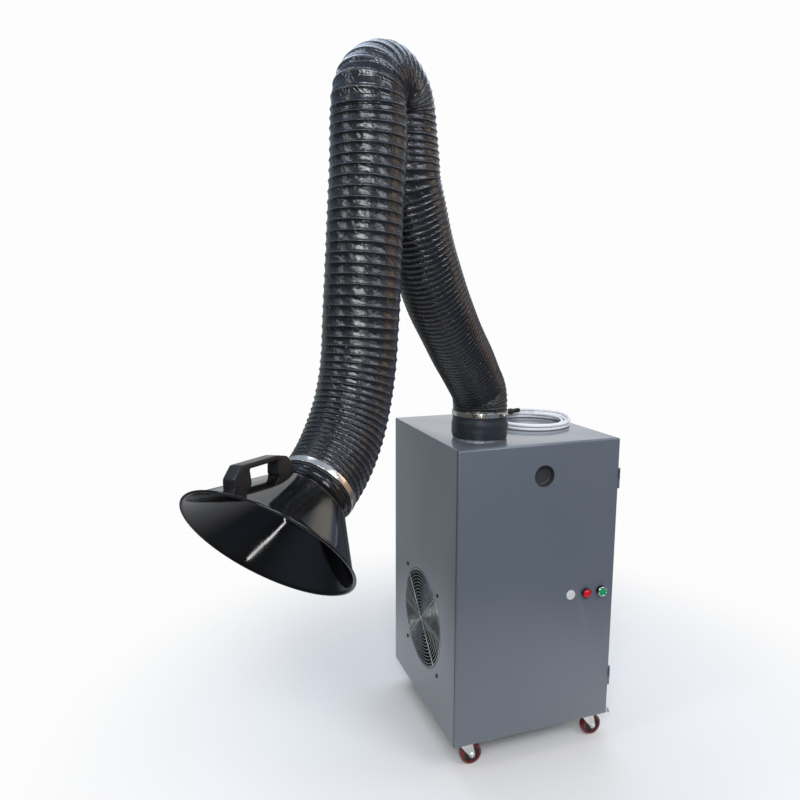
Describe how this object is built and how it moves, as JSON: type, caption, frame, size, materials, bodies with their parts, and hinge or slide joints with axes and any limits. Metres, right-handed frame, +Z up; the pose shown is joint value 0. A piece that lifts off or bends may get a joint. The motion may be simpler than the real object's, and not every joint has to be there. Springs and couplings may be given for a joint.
{
  "type": "mobile welding fume extractor",
  "caption": "Mobile welding fume extractor: a sheet-steel filter cabinet on swivel casters with a ribbed suction hose arm that ends in a conical hood, and a coiled mains lead on top.",
  "frame": {"origin": "centre of the underside of the cabinet's base tray, where the caster plates are bolted", "axes": "+X to the right along the front, -Y out of the front door, +Z up"},
  "size_m": [1.2233, 1.1752, 1.8372],
  "materials": {
    "powder_coat": "satin",
    "galvanised_sheet": "satin",
    "filter_aluminium": "satin",
    "filter_paper": "matte",
    "black_paint": "satin",
    "black_plastic": "gloss",
    "zinc_plate": "satin",
    "stainless_band": "polished",
    "seal_foam": "matte",
    "white_plastic": "gloss",
    "red_plastic": "gloss",
    "green_plastic": "gloss",
    "wheel_core": "satin",
    "red_polyurethane": "satin",
    "coated_hose_fabric": "gloss",
    "cuff_rubber": "satin",
    "cord_sheath": "satin"
  },
  "bodies": {
    "cabinet": {"cabinet_wrap": "powder_coat", "rear_panel": "powder_coat", "base_tray": "powder_coat", "inlet_spigot": "galvanised_sheet", "filter_shelf": "galvanised_sheet", "filter_frame": "filter_aluminium", "filter_media": "filter_paper", "control_box": "black_plastic", "fan_shroud": "black_paint", "fan_motor": "black_paint", "fan_guard": "zinc_plate", "fan_screw_1": "black_paint", "fan_screw_2": "black_paint", "fan_screw_3": "black_paint", "fan_screw_4": "black_paint", "cable_gland": "black_plastic", "power_cord": "cord_sheath", "cord_coil": "cord_sheath", "cord_plug": "black_plastic", "caster_plate_front_left": "zinc_plate", "caster_plate_front_right": "zinc_plate", "caster_plate_rear_left": "zinc_plate", "caster_plate_rear_right": "zinc_plate"},
    "door": {"front_door": "powder_coat", "door_seal": "seal_foam", "power_lamp": "white_plastic", "stop_housing": "black_plastic", "start_housing": "black_plastic"},
    "stop": {"stop_button": "red_plastic"},
    "start": {"start_button": "green_plastic"},
    "fan": {"fan_impeller": "black_plastic"},
    "caster_front_left": {"caster_fork_front_left": "zinc_plate"},
    "caster_front_right": {"caster_fork_front_right": "zinc_plate"},
    "caster_rear_left": {"caster_fork_rear_left": "zinc_plate"},
    "caster_rear_right": {"caster_fork_rear_right": "zinc_plate"},
    "wheel_front_left": {"wheel_core_front_left": "wheel_core", "wheel_tread_front_left": "red_polyurethane"},
    "wheel_front_right": {"wheel_core_front_right": "wheel_core", "wheel_tread_front_right": "red_polyurethane"},
    "wheel_rear_left": {"wheel_core_rear_left": "wheel_core", "wheel_tread_rear_left": "red_polyurethane"},
    "wheel_rear_right": {"wheel_core_rear_right": "wheel_core", "wheel_tread_rear_right": "red_polyurethane"},
    "pedal_front_left": {"brake_pedal_front_left": "zinc_plate"},
    "pedal_front_right": {"brake_pedal_front_right": "zinc_plate"},
    "arm_base": {"arm_turntable": "zinc_plate", "hose_cuff": "cuff_rubber", "cuff_clamp": "stainless_band", "hose_shoulder_bend": "coated_hose_fabric"},
    "lower_arm": {"lower_link": "zinc_plate", "hose_lower": "coated_hose_fabric", "hose_elbow_bend": "coated_hose_fabric"},
    "upper_arm": {"upper_link": "zinc_plate", "hose_upper": "coated_hose_fabric", "hose_wrist_bend": "coated_hose_fabric"},
    "hood_neck": {"hood_bracket": "black_paint", "hood_clamp": "stainless_band"},
    "hood_head": {"hood_collar": "black_plastic", "hood": "black_plastic", "hood_handle": "black_plastic"}
  },
  "joints": [
    {"name": "door_hinge", "type": "hinge", "parent": "cabinet", "child": "door", "pos_m": [0.2563, -0.24625, 0.425], "axis": [0, 0, 1], "range_deg": [0, 110]},
    {"name": "stop_press", "type": "slide", "parent": "door", "child": "stop", "axis": [0, 1, 0], "range_m": [0, 0.0035], "stiffness_N_per_m": 500, "springref_m": -0.001},
    {"name": "start_press", "type": "slide", "parent": "door", "child": "start", "axis": [0, 1, 0], "range_m": [0, 0.0035], "stiffness_N_per_m": 500, "springref_m": -0.001},
    {"name": "fan_spin", "type": "hinge", "parent": "cabinet", "child": "fan", "pos_m": [-0.216, 0.0055, 0.268], "axis": [1, 0, 0], "continuous": true},
    {"name": "swivel_front_left", "type": "hinge", "parent": "cabinet", "child": "caster_front_left", "pos_m": [-0.203, -0.21, -0.012], "axis": [0, 0, 1], "continuous": true},
    {"name": "swivel_front_right", "type": "hinge", "parent": "cabinet", "child": "caster_front_right", "pos_m": [0.203, -0.21, -0.012], "axis": [0, 0, 1], "continuous": true},
    {"name": "swivel_rear_left", "type": "hinge", "parent": "cabinet", "child": "caster_rear_left", "pos_m": [-0.203, 0.21, -0.012], "axis": [0, 0, 1], "continuous": true},
    {"name": "swivel_rear_right", "type": "hinge", "parent": "cabinet", "child": "caster_rear_right", "pos_m": [0.203, 0.21, -0.012], "axis": [0, 0, 1], "continuous": true},
    {"name": "roll_front_left", "type": "hinge", "parent": "caster_front_left", "child": "wheel_front_left", "pos_m": [-0.181, -0.21, -0.055], "axis": [0, 1, 0], "continuous": true},
    {"name": "roll_front_right", "type": "hinge", "parent": "caster_front_right", "child": "wheel_front_right", "pos_m": [0.225, -0.21, -0.055], "axis": [0, 1, 0], "continuous": true},
    {"name": "roll_rear_left", "type": "hinge", "parent": "caster_rear_left", "child": "wheel_rear_left", "pos_m": [-0.181, 0.21, -0.055], "axis": [0, 1, 0], "continuous": true},
    {"name": "roll_rear_right", "type": "hinge", "parent": "caster_rear_right", "child": "wheel_rear_right", "pos_m": [0.225, 0.21, -0.055], "axis": [0, 1, 0], "continuous": true},
    {"name": "brake_front_left", "type": "hinge", "parent": "caster_front_left", "child": "pedal_front_left", "pos_m": [-0.1865, -0.21, -0.0172], "axis": [0, 1, 0], "range_deg": [0, 14]},
    {"name": "brake_front_right", "type": "hinge", "parent": "caster_front_right", "child": "pedal_front_right", "pos_m": [0.2195, -0.21, -0.0172], "axis": [0, 1, 0], "range_deg": [0, 14]},
    {"name": "arm_swivel", "type": "hinge", "parent": "cabinet", "child": "arm_base", "pos_m": [-0.1213, -0.11, 0.902], "axis": [0, 0, 1], "range_deg": [-180, 180]},
    {"name": "arm_shoulder", "type": "hinge", "parent": "arm_base", "child": "lower_arm", "pos_m": [-0.12584, -0.114, 0.97422], "axis": [-0.6607, 0.7507, 0], "range_deg": [-15, 25], "deforming": ["hose_shoulder_bend"]},
    {"name": "arm_elbow", "type": "hinge", "parent": "lower_arm", "child": "upper_arm", "pos_m": [-0.50403, -0.44683, 1.68148], "axis": [-0.6607, 0.7507, 0], "range_deg": [0, 110], "deforming": ["hose_elbow_bend"]},
    {"name": "hood_tilt", "type": "hinge", "parent": "upper_arm", "child": "hood_neck", "pos_m": [-0.61512, -0.54459, 1.0173], "axis": [0.6607, -0.7507, 0], "range_deg": [-45, 45], "deforming": ["hose_wrist_bend"]},
    {"name": "hood_turn", "type": "hinge", "parent": "hood_neck", "child": "hood_head", "pos_m": [-0.71752, -0.63471, 0.88243], "axis": [-0.6435, -0.5663, -0.515], "range_deg": [-180, 180]}
  ]
}
